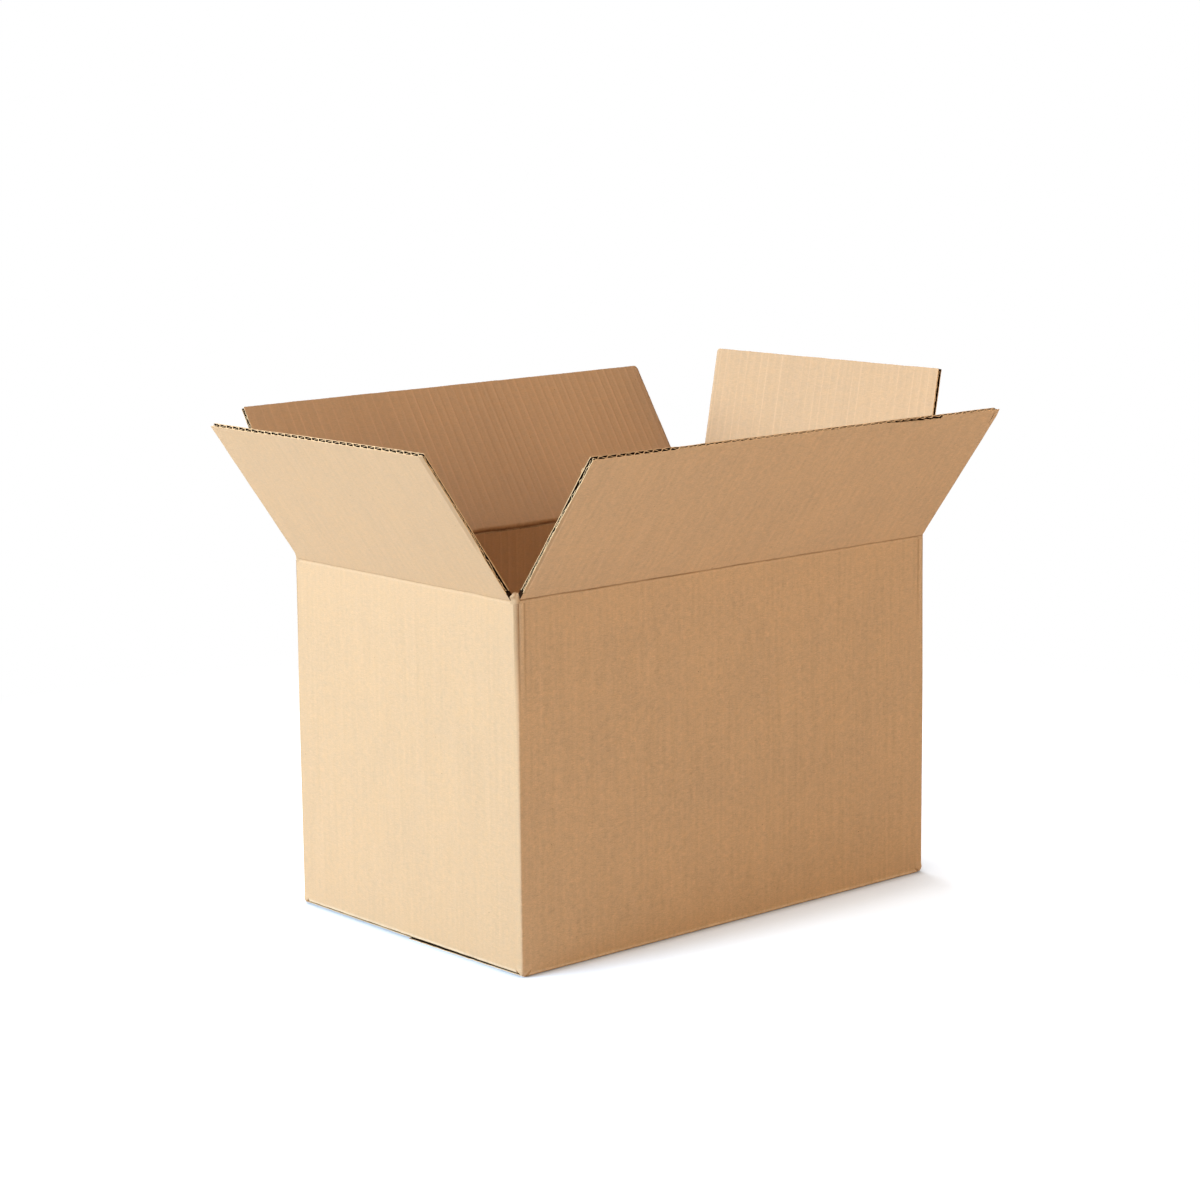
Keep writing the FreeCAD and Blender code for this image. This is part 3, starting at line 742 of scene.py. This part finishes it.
def add_foot_nub(gather, corner, before, after, seed):
    """Rounded tongue of board at the foot of a folded corner, between slits."""
    part = np.linspace(0, 1, 19)[None, :]
    side = np.linspace(-1, 1, 33)[:, None]
    climb = part * (WALL_LOW - 0.35) * (1 - 0.16 * np.abs(side) ** 3)
    v = WALL_LOW - climb
    past = smooth(climb, 3.6, WALL_LOW)
    reach = np.where(side < 0, foot_reach(before, v), foot_reach(after, v))
    narrow = np.where(climb > 3.7, 0.35 + 0.75 * past, 0.0)
    u = corner + side * np.maximum(reach - narrow, 0.3)
    crumple = past * (0.25 * wander(u * 1.3 + 3 * v, 1.4, seed) + 0.15 * wander(v * 2 - u, 0.8, seed + 1))
    swell = 0.35 * hump(v, 3.4, 1.6) * (1 - np.abs(side) ** 2)
    outer = 0.04 + 1.1 * past ** 3 + np.abs(crumple) * 0.6 - swell
    inner = 0.04 + (BOARD - 0.1) * (1 - 0.3 * past) + np.abs(crumple) * 0.6
    # The tongue is paler; painted shade of the slits beside it darkens its sides.
    wear_and_painted_light = 0.3 + 0.8 * past - 4.0 * past * smooth(np.abs(side), 0.8, 0.97)
    gather.slab(
        place_walls, u[::-1], v[::-1], outer[::-1], inner[::-1], (OUTER, INNER), wear_and_painted_light[::-1],
        (CUT, CUT, CORE, CUT),
    )


def make_walls(material):
    gather = Gather()
    add_walls(gather)
    add_end_groove(gather)
    for seed, corner in enumerate(FREE_CORNERS):
        add_top_nub(gather, *corner, 81 + 4 * seed)
        add_foot_nub(gather, *corner, 101 + 4 * seed)
    piece = gather.finish("carton_walls", material)
    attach(piece, "box")
    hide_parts("box_body")
    return piece


def make_lap(material):
    """Glue lap of the right wall, behind the back wall."""
    gather = Gather()
    low, high = 2 * BOARD + 3.0, SHORT_CREASE - BOARD - 3.0
    across = spread(LAP_FOLD - LAP_WIDTH, LAP_START, FLUTE_STEP)[:, None]
    taper = 8.0 * (1 - smooth(across, LAP_FOLD - LAP_WIDTH, LAP_FOLD - 3.0))
    part = np.linspace(0, 1, 13)[None, :]
    v = (low + taper) * (1 - part) + (high - taper) * part
    u = np.broadcast_to(across, v.shape)
    press = 0.5 * (1 - smooth(u, LAP_FOLD - LAP_WIDTH, LAP_FOLD - LAP_WIDTH + 3))
    inner = BOARD - 0.5 - press + flute_lines(u, v, True)
    gather.slab(place_walls, u, v, np.zeros(u.shape), inner, (OUTER, INNER), 0.0)
    piece = gather.finish("glue_lap", material)
    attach(piece, "box")
    return piece


# Bottom flaps, folded in and glued: the long pair outside, the short pair on top of it.

def long_fold_paths():
    radius = 1.7
    level = FLOOR_LIFT
    turn = arc((radius, level + radius), radius, 180, 270)
    tight = arc((BOARD + 0.4, level + BOARD + 0.4), 0.4, 180, 270)
    return fold_paths(turn, tight, HALF_Y - SEAM)


def short_fold_paths():
    radius = 1.45
    level = BOARD + 0.06
    turn = arc((radius, level), radius, 180, 285)
    turn += [(3.4, level - 0.35), (4.6, level)]
    tight = arc((BOARD + 0.4, level + BOARD + 0.4), 0.4, 180, 270, len(turn))
    return fold_paths(turn, tight, FLAP_DEPTH)


def fold_paths(turn, tight, depth):
    """Both skins from the wall's low edge to the free edge, at the same distances."""
    outer = [(0.0, WALL_LOW)] + turn + [(depth, turn[-1][1])]
    inner = [(BOARD, WALL_LOW)] + tight + [(depth, tight[-1][1])]
    runs = [0.0]
    for before, after in zip(outer, outer[1:]):
        runs.append(runs[-1] + math.dist(before, after))
    return [(r, n, z) for r, (n, z) in zip(runs, outer)], [(r, n, z) for r, (n, z) in zip(runs, inner)]


def add_fold(gather, panel, place, length, highlight_rim):
    """The bent part of the board under a wall; its ends follow the slits beside the corner tongues."""
    across = spread(panel.flap_low, panel.flap_high, FLUTE_STEP)[:, None]
    runs = np.concatenate([[0.0], np.linspace(WALL_LOW - 4.5, length, 22)])
    v = WALL_LOW - runs[None, ::-1]
    trim = np.maximum(foot_reach(panel, v) - panel.slot, 0) * smooth(v, -1.5, 0)
    side = (across - panel.middle) / (panel.length / 2 - panel.slot)
    u, v = np.broadcast_arrays(across - trim * side * smooth(np.abs(side), 0.9, 1.0), v)
    fade = smooth(v, WALL_LOW - 3, WALL_LOW)
    low = -flute_lines(u, v, False) * fade + 0.05 * wander(u, 5, 91) * (1 - fade)
    high = BOARD + (flute_lines(u, v, True) - FLUTE_SINK) * fade
    # A painted highlight along the rim of the bend, where it faces the floor, and painted shade in the
    # slits at the fold's ends.
    wear_and_painted_light = 2.6 * hump(WALL_LOW - v, highlight_rim, 0.8) * (1 + 0.3 * wander(u, 6, 93))
    wear_and_painted_light = wear_and_painted_light - 4.0 * smooth(np.abs(side), 0.996, 1.0) * smooth(WALL_LOW - v, 3.6, 4.4)
    gather.slab(place, u, v, low, high, (OUTER, INNER), wear_and_painted_light, (CUT, CUT, CORE, CORE))


def finish_bottom(gather, name, material):
    piece = gather.finish(name, material)
    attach(piece, "box")
    return piece


def make_long_bottom(material):
    gather = Gather()
    for panel in (FRONT, BACK):
        paths = long_fold_paths()
        place = place_bottom(panel, *paths)
        bend = paths[0][-2][0] + 1.5
        add_fold(gather, panel, place, bend, paths[0][1][0] + RIM_SHIFT)
        board = bottom_board(panel, bend, paths[0][-1][0], 131)
        if panel is FRONT:
            place = skewed(place, board, 2.3)
        add_board(gather, board, place)
    return finish_bottom(gather, "long_bottom_flaps", material)


def make_short_bottom(material):
    gather = Gather()
    for panel in (LEFT, RIGHT):
        paths = short_fold_paths()
        place = place_bottom(panel, *paths)
        bend = paths[0][-2][0] + 1.5
        add_fold(gather, panel, place, bend, paths[0][1][0] + RIM_SHIFT)
        board = bottom_board(panel, bend, paths[0][-1][0], 141)
        add_board(gather, board, place)
    return finish_bottom(gather, "short_bottom_flaps", material)


def bottom_board(panel, bend, length, seed):
    board = Board(panel.flap_low, panel.flap_high, WALL_LOW - bend, WALL_LOW - length, seed)
    board.column = FLUTE / 2
    board.row = 14.0
    board.side_step = 3.6
    board.tip_step = 1.8
    return board


def skewed(place, board, shift):
    """The front bottom flap was folded in slightly askew, so its end shows under the left wall."""
    middle = (board.low_u + board.high_u) / 2
    half = board.high_u - middle

    def move(u, v, w):
        climb = np.clip(board.run(v) / board.depth(), 0, 1)
        near = smooth((u - middle) / half, 0.2, 1.0)
        ragged = 0.5 * wander(v, 1.7, 151) * near ** 6
        return place(u + near * climb ** 0.7 * shift + ragged * climb, v, w)

    return move


# Materials.

def add_node(tree, kind, inputs=None, **settings):
    made = tree.nodes.new(kind)
    for key, value in settings.items():
        setattr(made, key, value)
    for key, value in (inputs or {}).items():
        if isinstance(value, bpy.types.NodeSocket):
            tree.links.new(value, made.inputs[key])
        else:
            made.inputs[key].default_value = value
    return made


def calc(tree, operation, *values, clamp=False):
    inputs = dict(enumerate(values))
    return add_node(tree, "ShaderNodeMath", inputs, operation=operation, use_clamp=clamp).outputs[0]


def mix(tree, share, one, other):
    inputs = {0: share, 6: one, 7: other}
    return add_node(tree, "ShaderNodeMix", inputs, data_type="RGBA").outputs[2]


def noise(tree, place, scale, detail, stretch=(1, 1, 1), rough=0.5):
    """Noise between about -1 and 1."""
    moved = add_node(tree, "ShaderNodeMapping", {"Vector": place, "Scale": stretch})
    inputs = {"Vector": moved.outputs[0], "Scale": scale, "Detail": detail, "Roughness": rough}
    made = add_node(tree, "ShaderNodeTexNoise", inputs)
    return calc(tree, "MULTIPLY_ADD", made.outputs["Fac"], 3.2, -1.6)


def add_layers(tree, first, *others):
    """Sum of layers, each times its amount."""
    total = calc(tree, "MULTIPLY", *first)
    for layer, amount in others:
        total = calc(tree, "MULTIPLY_ADD", layer, amount, total)
    return total


def crest_lines(tree, spot, across, inner):
    """Narrow lines, of uneven strength, where a liner is glued to the flutes' crests."""
    half = calc(tree, "MULTIPLY", inner, 0.5)
    phase = calc(tree, "MULTIPLY_ADD", across, 1 / FLUTE, half)
    wave = calc(tree, "COSINE", calc(tree, "MULTIPLY", phase, 2 * math.pi))
    crest = calc(tree, "POWER", calc(tree, "MULTIPLY_ADD", wave, 0.5, 0.5), 14.0)
    vary = noise(tree, spot, 0.16, 2, (1, 0.06, 1))
    vary = calc(tree, "MULTIPLY_ADD", vary, 0.8, 0.5, clamp=True)
    return calc(tree, "MULTIPLY", crest, vary)


def add_specks(tree, spot, colour):
    """A few dark specks of pulp, one in some of the cells."""
    speck_brown = (0.2, 0.11, 0.05, 1)
    cells = add_node(tree, "ShaderNodeTexVoronoi", {"Vector": spot, "Scale": 0.2, "Randomness": 1.0})
    cell_pick = add_node(tree, "ShaderNodeSeparateColor", {0: cells.outputs["Color"]}).outputs
    size = calc(tree, "MULTIPLY", calc(tree, "POWER", cell_pick[0], 9.0), 0.075)
    dark = calc(tree, "LESS_THAN", cells.outputs["Distance"], size)
    return mix(tree, calc(tree, "MULTIPLY", dark, 0.65), colour, speck_brown)


def kraft_board():
    """Brown kraft liner: fibres, clouds, specks and flute lines; paler where it is cut; painted highlights
    and shade from a point attribute, and near-black painted shade in the board's core.
    """
    liner = (0.645, 0.435, 0.268, 1)
    liner_deep = (0.59, 0.37, 0.198, 1)
    cut_fibre = (0.80, 0.54, 0.30, 1)
    pale_tear_and_highlight = (0.82, 0.62, 0.42, 1)
    darkening_brown = (0.22, 0.11, 0.045, 1)
    medium_and_cavity_shade = (0.022, 0.009, 0.003, 1)
    material = bpy.data.materials.new("kraft_board")
    material.use_nodes = True
    tree = material.node_tree
    tree.nodes.clear()
    place = add_node(tree, "ShaderNodeAttribute", attribute_name="blank").outputs["Vector"]
    kind = add_node(tree, "ShaderNodeAttribute", attribute_name="kind").outputs["Vector"]
    wear_and_painted_light = add_node(tree, "ShaderNodeAttribute", attribute_name="wear_and_painted_light").outputs["Fac"]
    kinds = add_node(tree, "ShaderNodeSeparateXYZ", {0: kind}).outputs
    inner, core, cut = kinds[0], kinds[1], kinds[2]
    spot = add_node(tree, "ShaderNodeMapping", {"Vector": place, "Scale": (1, 1, 11)}).outputs[0]
    axes = add_node(tree, "ShaderNodeSeparateXYZ", {0: place}).outputs

    clouds = noise(tree, spot, 0.03, 3)
    patches = noise(tree, spot, 0.28, 4, rough=0.6)
    grain = noise(tree, spot, 1.5, 4, rough=0.65)
    fibres = noise(tree, spot, 1.1, 5, (0.28, 2.2, 1), 0.62)
    streaks = noise(tree, spot, 0.42, 3, (1, 0.035, 1))

    others = (patches, 0.085), (grain, 0.10), (fibres, 0.10), (streaks, 0.04)
    tone = add_layers(tree, (clouds, 0.035), *others)
    shaded_side_boost = 0.6  # painted light: the shaded front wall and its flap show their fibres more than the lit walls
    off_middle = calc(tree, "ABSOLUTE", calc(tree, "SUBTRACT", axes[0], FRONT.middle))
    in_front = calc(tree, "LESS_THAN", off_middle, HALF_X)
    tone = calc(tree, "MULTIPLY", tone, calc(tree, "MULTIPLY_ADD", in_front, shaded_side_boost, 1.0))

    line = crest_lines(tree, spot, axes[0], inner)
    strength = calc(tree, "MULTIPLY_ADD", inner, 0.12, 0.006)
    tone = calc(tree, "MULTIPLY_ADD", line, strength, tone)
    bright = calc(tree, "ADD", tone, 1.0)

    hue = calc(tree, "MULTIPLY_ADD", patches, 0.3, 0.35, clamp=True)
    hue = calc(tree, "MULTIPLY_ADD", clouds, 0.15, hue, clamp=True)
    colour = mix(tree, hue, liner, liner_deep)

    colour = add_specks(tree, spot, colour)
    # Positive values pale the colour, for torn fibres, a rubbed line on the corners and painted highlights;
    # negative values darken it towards brown as painted shade in score valleys, corner grooves and bands,
    # slits and crushed margins, and darken the top nubs.
    colour = mix(tree, calc(tree, "MULTIPLY", wear_and_painted_light, 0.3, clamp=True), colour, pale_tear_and_highlight)
    colour = mix(tree, calc(tree, "MULTIPLY", wear_and_painted_light, -0.22, clamp=True), colour, darkening_brown)
    torn = calc(tree, "MULTIPLY_ADD", grain, 0.3, 0.85, clamp=True)
    colour = mix(tree, calc(tree, "MULTIPLY", cut, torn), colour, cut_fibre)
    # The medium and the liners' faces inside the board are near black: the medium's darker brown with
    # painted shade of the flute cavities.
    colour = mix(tree, core, colour, medium_and_cavity_shade)
    scaled = add_node(tree, "ShaderNodeVectorMath", {0: colour, "Scale": bright}, operation="SCALE")

    height = add_layers(tree, (fibres, 0.35), (grain, 0.45), (patches, 0.5), (line, 0.6))
    bump = add_node(tree, "ShaderNodeBump", {"Strength": 0.45, "Distance": 0.00008, "Height": height})
    rough = calc(tree, "MULTIPLY_ADD", grain, 0.04, 0.82)
    shader = add_node(tree, "ShaderNodeBsdfPrincipled", {
        "Base Color": scaled.outputs[0],
        "Roughness": rough,
        "Specular IOR Level": 0.05,
        "Normal": bump.outputs[0],
    })
    out = add_node(tree, "ShaderNodeOutputMaterial")
    tree.links.new(shader.outputs[0], out.inputs[0])
    return material


def seen_directly(tree):
    """1 on rays from the camera, also by way of gloss or glass, and 0 on light rays."""
    rays = add_node(tree, "ShaderNodeLightPath").outputs
    direct = calc(tree, "MAXIMUM", rays["Is Camera Ray"], rays["Is Glossy Ray"])
    return calc(tree, "MAXIMUM", direct, rays["Is Transmission Ray"])


def floor_material():
    """White sweep: near the carton it shows the shadow, with a painted contact shadow darkening its glow;
    further off it is plain white.
    """
    material = bpy.data.materials.new("studio_floor")
    material.use_nodes = True
    tree = material.node_tree
    tree.nodes.clear()
    place = add_node(tree, "ShaderNodeTexCoord").outputs["Object"]
    away = add_node(tree, "ShaderNodeVectorMath", {0: place}, operation="LENGTH").outputs["Value"]
    far = add_node(tree, "ShaderNodeMapRange", {0: away, 1: 0.32, 2: 0.75}, interpolation_type="SMOOTHSTEP")
    matt = add_node(tree, "ShaderNodeBsdfDiffuse", {"Color": FLOOR_COLOUR})
    neutral = add_node(tree, "ShaderNodeBsdfDiffuse", {"Color": SHADOW_BALANCE})
    glow = FLOOR_GLOW
    for reach, depth in CONTACTS:
        sky = add_node(tree, "ShaderNodeAmbientOcclusion", {"Distance": reach}, samples=8)
        glow = calc(tree, "MULTIPLY", calc(tree, "POWER", sky.outputs["AO"], depth), glow)
    lift = add_node(tree, "ShaderNodeEmission", {"Color": GLOW_COLOUR, "Strength": glow})
    plain = add_node(tree, "ShaderNodeEmission", {"Color": (1, 1, 1, 1), "Strength": 1.0})
    shown = add_node(tree, "ShaderNodeAddShader", {0: neutral.outputs[0], 1: lift.outputs[0]})
    views = {0: far.outputs[0], 1: shown.outputs[0], 2: plain.outputs[0]}
    seen = add_node(tree, "ShaderNodeMixShader", views)
    direct = seen_directly(tree)
    both = add_node(tree, "ShaderNodeMixShader", {0: direct, 1: matt.outputs[0], 2: seen.outputs[0]})
    out = add_node(tree, "ShaderNodeOutputMaterial")
    tree.links.new(both.outputs[0], out.inputs[0])
    return material


# Studio: floor, lamps, world and camera.

BOX_MIDDLE = (0.0, 0.0, 0.12)
FLOOR_COLOUR = (0.68, 0.68, 0.68, 1)
FLOOR_GLOW = 0.72
GLOW_COLOUR = (0.95, 0.98, 1.0, 1)
SHADOW_BALANCE = (0.72, 0.82, 0.97, 1)  # evens out the lamps' colours in the shadow that the camera sees
CONTACTS = ((0.045, 1.15), (0.006, 1.3))  # reach in metres and depth of the painted contact shadow beside the carton, from ambient occlusion
FILL_LEVEL = 0.03
FILL_COLOUR = (1.0, 0.9, 0.8, 1)


def make_floor():
    reach = 6.0
    mesh = bpy.data.meshes.new("studio_floor")
    corners = [(-reach, -reach, 0), (reach, -reach, 0), (reach, reach, 0), (-reach, reach, 0)]
    mesh.from_pydata(corners, [], [(0, 1, 2, 3)])
    mesh.materials.append(floor_material())
    floor = bpy.data.objects.new("studio_floor", mesh)
    bpy.context.scene.collection.objects.link(floor)


def make_world():
    world = bpy.data.worlds.new("studio_world")
    bpy.context.scene.world = world
    world.use_nodes = True
    tree = world.node_tree
    tree.nodes.clear()
    fill = add_node(tree, "ShaderNodeBackground", {"Color": FILL_COLOUR, "Strength": FILL_LEVEL})
    white = add_node(tree, "ShaderNodeBackground", {"Color": (1, 1, 1, 1), "Strength": 1.0})
    direct = seen_directly(tree)
    both = add_node(tree, "ShaderNodeMixShader", {0: direct, 1: fill.outputs[0], 2: white.outputs[0]})
    out = add_node(tree, "ShaderNodeOutputWorld")
    tree.links.new(both.outputs[0], out.inputs[0])


# Each lamp's place and size in metres, its watts and its colour.
LAMPS = {
    "key": ((-3.3, 1.15, 1.5), (2.0, 2.0), 222.0, (0.708, 0.87, 1.0)),
    "front_fill": ((0.2, -2.4, 0.5), (2.0, 1.0), 28.5, (1.0, 0.81, 0.59)),
    "top_fill": ((0.0, 0.0, 2.4), (1.8, 1.8), 21.0, (1.0, 0.80, 0.72)),
    "back_fill": ((0.4, 2.2, 1.2), (1.6, 1.2), 45.0, (1.0, 0.944, 0.889)),
}


def add_lamp(name, place, size, power, colour):
    lamp = bpy.data.lights.new(name, "AREA")
    lamp.shape = "RECTANGLE"
    lamp.size, lamp.size_y = size
    lamp.energy = power
    lamp.color = colour
    holder = bpy.data.objects.new(name, lamp)
    bpy.context.scene.collection.objects.link(holder)
    holder.location = place
    holder.rotation_euler = (Vector(BOX_MIDDLE) - Vector(place)).to_track_quat("-Z", "Y").to_euler()


def make_camera():
    """Camera from a fit of the photograph's edges and corners, in metres and degrees."""
    place = Vector((-1.1385, -1.2995, 0.4862))
    yaw, pitch, roll = math.radians(49.069), math.radians(10.170), math.radians(-0.621)
    focal_pixels, picture_pixels, sensor = 2954.07, 1200.0, 36.0
    forward = Vector((math.cos(yaw) * math.cos(pitch), math.sin(yaw) * math.cos(pitch), -math.sin(pitch)))
    level = Vector((math.sin(yaw), -math.cos(yaw), 0))
    rise = level.cross(forward)
    right = math.cos(roll) * level + math.sin(roll) * rise
    up = math.cos(roll) * rise - math.sin(roll) * level
    data = bpy.data.cameras.new("camera")
    data.sensor_width = sensor
    data.lens = focal_pixels / picture_pixels * sensor
    data.clip_start = 0.05
    data.clip_end = 50
    camera = bpy.data.objects.new("camera", data)
    turn = Matrix((right, up, -forward)).transposed().to_4x4()
    camera.matrix_world = Matrix.Translation(place) @ turn
    bpy.context.scene.collection.objects.link(camera)
    bpy.context.scene.camera = camera


# How dark the painted shade in each score's valleys is at its low and high u.
SCORE_VALLEY_SHADE = {"front": (2.0, 3.6), "back": (3.2, 3.2), "left": (1.0, 1.0), "right": (1.6, 1.6)}

# Each flap by itself. Pairs are for its low and high u: radii of the free edge's corners, depth of
# the knife's teeth, raggedness of the shredded medium, and how far the free edge is cut short and
# stands back. Lists hold crushed side edges (end, low, high, reach, outer press, inner press),
# pinched and torn stretches of the free edge, and flakes (layer, end, low, high, reach).
FLAP_SHAPES = {
    "front": {
        "seed": 200, "tips": [0.35, 1.0], "inner_tips": [4.6, 1.0],
        "teeth": [0.08, 0.06], "fringe": [0.2, 0.2],
        "crush": [(1, 0, 80, 2.5, 0.5, 0.3)],
        "pinch": [(0, LEFT.begin - 62, 0.55, 0.35)],
        "tears": [(0, FRONT.begin + 52, FRONT.begin + 103, 1.25)],
        "flakes": [(1, 1, 84.0, 88.5, 0.5)],
    },
    "back": {
        "seed": 300, "tips": [1.0, 3.4], "teeth": [0.3, 0.1], "fringe": [0.75, 0.5],
        "short": (3.2, 1.4), "back": (3.0, 2.4),
        "crush": [(1, 0, 120, 2.0, 0.3, 0.8)],
    },
    "left": {
        "seed": 400, "tips": [0.8, 0.8], "teeth": [0.08, 0.08], "fringe": [0.1, 0.3],
        "crush": [(0, 30, 140, 3.2, 0.8, 0.1)],
    },
    "right": {
        "seed": 500, "tips": [2.8, 1.0], "teeth": [0.34, 0.08], "fringe": [0.75, 0.2],
        "crush": [(0, 0, 120, 1.6, 0.4, 0.6)],
    },
}


bpy.context.scene.view_settings.view_transform = "Standard"
kraft = kraft_board()
make_walls(kraft)
make_lap(kraft)
make_long_bottom(kraft)
make_short_bottom(kraft)
for number, wall in enumerate(PANELS):
    make_score(wall, kraft, 600 + 10 * number, SCORE_VALLEY_SHADE[wall.name])
    make_flap(wall, kraft, FLAP_SHAPES[wall.name])
make_floor()
make_world()
for lamp_name, settings in LAMPS.items():
    add_lamp(lamp_name, *settings)
make_camera()
